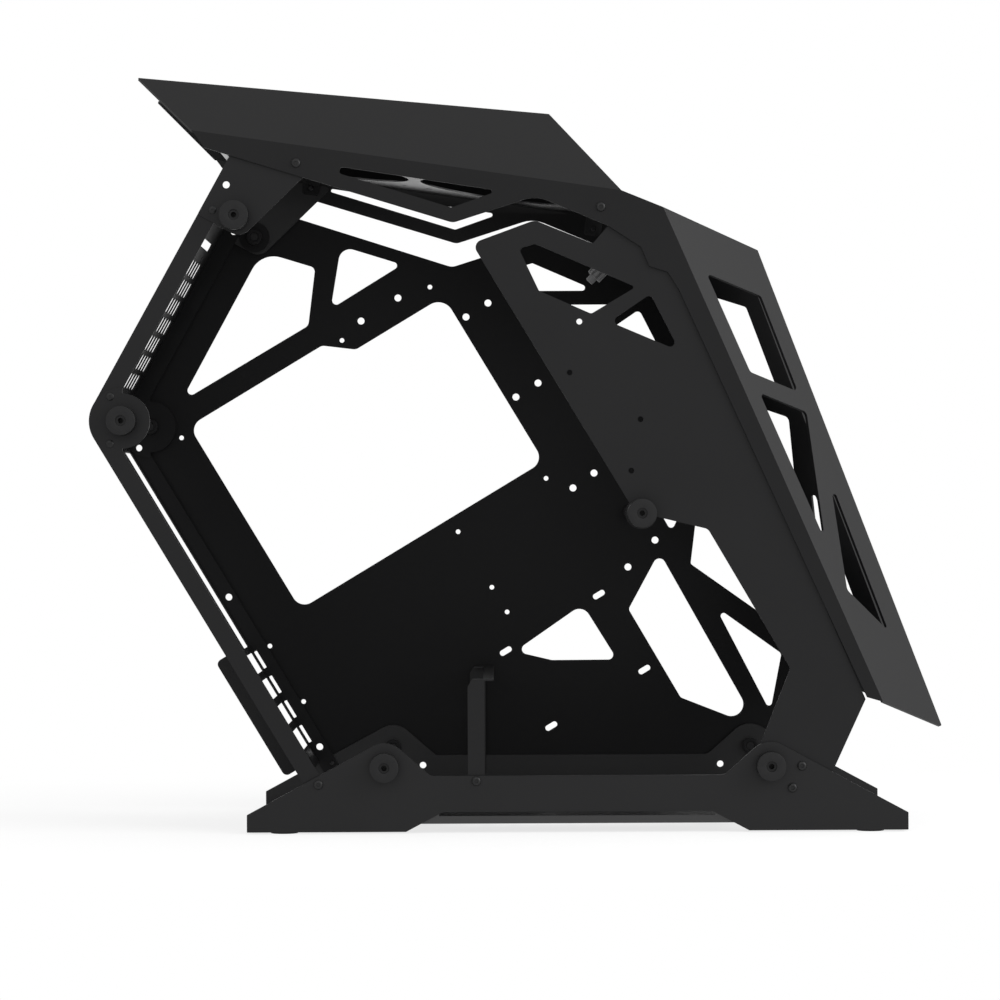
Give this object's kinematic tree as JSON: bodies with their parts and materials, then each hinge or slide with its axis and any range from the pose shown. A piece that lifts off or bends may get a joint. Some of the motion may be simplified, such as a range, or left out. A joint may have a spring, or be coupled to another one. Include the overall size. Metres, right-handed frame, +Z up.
{
  "type": "computer case",
  "caption": "Open-frame computer case of folded black sheet: tilted board tray, faceted covers, foot plates and glass posts.",
  "frame": {"origin": "on the ground, below the middle of the case's overall box", "axes": "+X towards the front of the case, +Y away from the viewer, towards the tray side, +Z up"},
  "size_m": [0.5566, 0.224, 0.495],
  "materials": {
    "black_paint": "satin black coat",
    "cover_paint": "satin black coat",
    "black_aluminium": "black anodised",
    "black_rubber": "matte",
    "black_steel": "black oxide",
    "rivet_metal": "black coated",
    "button_metal": "bright turned",
    "spring_steel": "bright"
  },
  "bodies": {
    "frame": {"base_plate_left": "black_paint", "base_plate_right": "black_paint", "rubber_feet": "black_rubber", "rear_lower_panel": "black_paint", "rear_upper_panel": "black_paint", "slot_screw_ledge": "black_paint", "top_rear_bracket_left": "black_paint", "top_rear_bracket_right": "black_paint", "cover_left": "cover_paint", "cover_right": "cover_paint", "top_fan_plate": "black_paint", "front_fan_plate": "black_paint", "button_panel": "black_paint", "front_side_plate": "black_paint", "motherboard_tray": "black_paint", "power_supply_shelf": "black_paint", "power_supply_strap": "black_paint", "glass_posts_left": "black_aluminium", "glass_posts_right": "black_aluminium", "post_washers_left": "black_rubber", "post_washers_right": "black_rubber", "post_nuts": "black_steel", "tray_spacers": "black_steel", "frame_screws_left": "black_steel", "frame_screws_right": "black_steel", "frame_rivets": "rivet_metal", "power_button_body": "button_metal", "power_button_nut": "button_metal", "power_button_spring": "spring_steel"},
    "button_cap": {"power_button_cap": "button_metal"}
  },
  "joints": [
    {"name": "power_button_press", "type": "slide", "parent": "frame", "child": "button_cap", "axis": [0.7071, 0, 0.7071], "range_m": [-0.0015, 0], "stiffness_N_per_m": 600}
  ]
}
